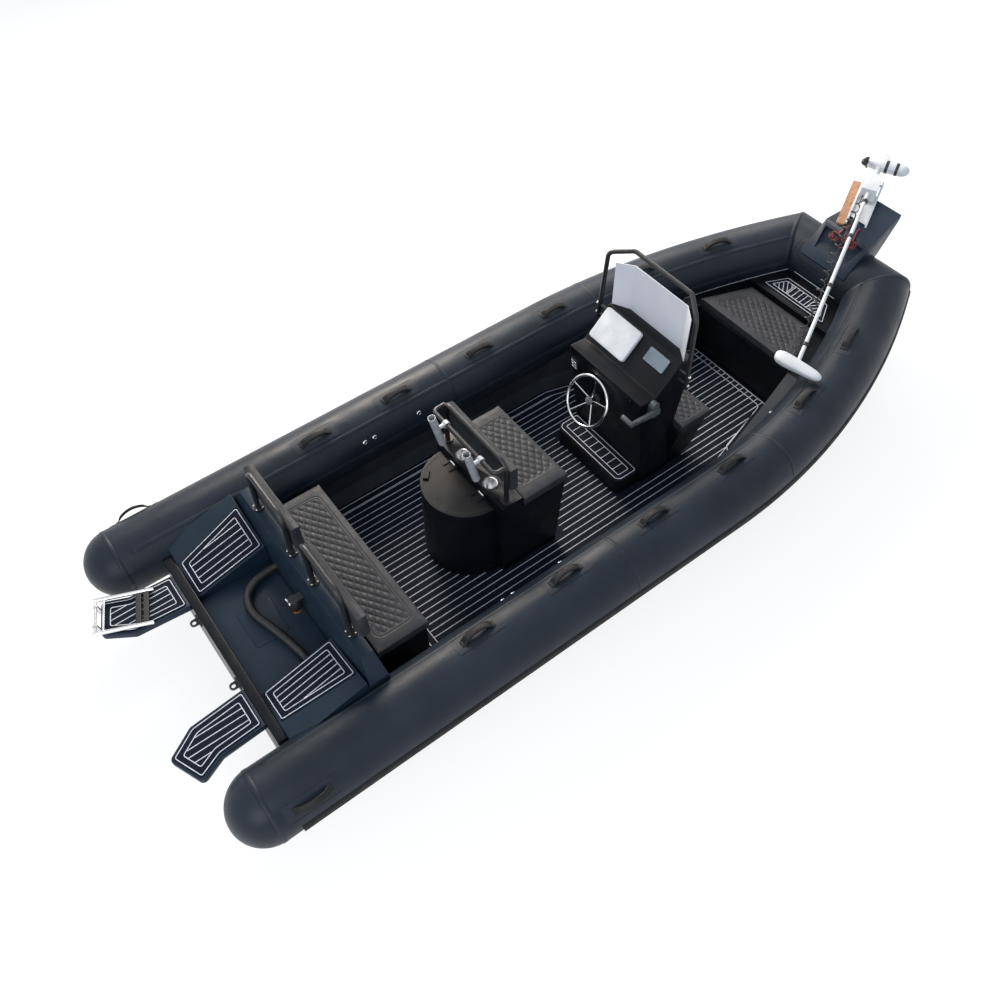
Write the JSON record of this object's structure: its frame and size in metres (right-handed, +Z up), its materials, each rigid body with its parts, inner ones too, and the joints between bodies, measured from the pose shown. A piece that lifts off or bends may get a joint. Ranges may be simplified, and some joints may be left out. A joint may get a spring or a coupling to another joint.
{
  "type": "rigid inflatable boat",
  "caption": "Rigid inflatable boat with dark tubes, a centre console, padded seats, foam decking, a fold-up stern ladder and an electric motor stowed on the bow.",
  "frame": {"origin": "on the centreline, amidships, at the waterline", "axes": "+X to the bow, +Y to port, +Z up"},
  "size_m": [6.3829, 2.3458, 1.795],
  "materials": {
    "tube_fabric": "matte, slightly satin coated fabric",
    "rubber_black": "matte",
    "gelcoat_dark": "gloss gelcoat on fibreglass",
    "gelcoat_slate": "satin gelcoat on fibreglass",
    "deck_foam": "foam decking with pale grooves",
    "stainless": "polished stainless steel",
    "upholstery": "quilted marine vinyl",
    "tube_black": "black powder coat on tube",
    "screen_clear": "clear sheet",
    "plastic_white": "gloss",
    "plastic_black": "satin",
    "display_glass": "gloss screen",
    "paint_white": "gloss white paint",
    "timber": "bare, weathered",
    "lead_red": "satin cable sheath"
  },
  "bodies": {
    "hull": {"tube_port": "tube_fabric", "tube_starboard": "tube_fabric", "tube_bow": "tube_fabric", "rub_strakes": "rubber_black", "tube_handles": "rubber_black", "hull": "gelcoat_dark", "cockpit_sides": "gelcoat_dark", "bow_block": "gelcoat_dark", "sole_pad": "deck_foam", "transom": "gelcoat_dark", "well_floor": "gelcoat_slate", "well_hatch": "gelcoat_slate", "quarter_decks": "gelcoat_slate", "platforms": "gelcoat_slate", "stern_pads": "deck_foam", "tow_eyes": "stainless", "ladder_hinge": "stainless", "bulkhead": "gelcoat_slate", "bench_base": "gelcoat_dark", "bench_cushion": "upholstery", "backrest_frames": "tube_black", "backrest_pads": "upholstery", "helm_pod": "gelcoat_slate", "cup_holders": "stainless", "helm_cushion": "upholstery", "live_tank": "gelcoat_slate", "lid_hinge": "stainless", "helm_hoop": "tube_black", "helm_backrest": "upholstery", "rod_holders": "stainless", "console": "gelcoat_slate", "console_step": "gelcoat_dark", "windscreen_frame": "tube_black", "windscreen_glass": "screen_clear", "display_cover": "plastic_white", "gauge_display": "display_glass", "switch_panel": "plastic_black", "helm_boss": "plastic_black", "throttle_control": "plastic_black", "seat_base": "gelcoat_slate", "seat_cushion": "upholstery", "bow_cushion": "upholstery", "foot_pads": "deck_foam", "bow_plate": "gelcoat_slate", "motor_bracket": "paint_white", "timber_packer": "timber", "red_leads": "lead_red", "rigging_hose": "plastic_black", "fuel_filter": "plastic_black"},
    "steering": {"steering_wheel": "stainless"},
    "tank_lid": {"tank_lid": "gelcoat_slate"},
    "ladder": {"boarding_ladder": "stainless", "ladder_treads": "plastic_black"},
    "motor_arm": {"motor_housing": "paint_white", "motor_shaft": "plastic_white", "motor_lower_unit": "paint_white", "motor_head": "plastic_white", "motor_cable": "plastic_black"},
    "propeller": {"propeller": "plastic_black"}
  },
  "joints": [
    {"name": "steering", "type": "hinge", "parent": "hull", "child": "steering", "pos_m": [0.29, 0.055, 0.683], "axis": [-0.891, 0, 0.454], "range_deg": [-540, 540]},
    {"name": "lid_hinge", "type": "hinge", "parent": "hull", "child": "tank_lid", "pos_m": [-0.724, 0, 0.702], "axis": [0, 1, 0], "range_deg": [0, 68]},
    {"name": "ladder_hinge", "type": "hinge", "parent": "hull", "child": "ladder", "pos_m": [-2.96972, 0.57968, 0.556], "axis": [-0.3944, -0.9189, 0], "range_deg": [0, 250]},
    {"name": "motor_deploy", "type": "hinge", "parent": "hull", "child": "motor_arm", "pos_m": [3.14981, 0.2, 1.0297], "axis": [-0.4478, 0.8942, 0], "range_deg": [0, 101.86]},
    {"name": "propeller_spin", "type": "hinge", "parent": "motor_arm", "child": "propeller", "pos_m": [3.22581, 0.23806, 1.1357], "axis": [-0.4478, 0.8942, 0], "continuous": true}
  ]
}
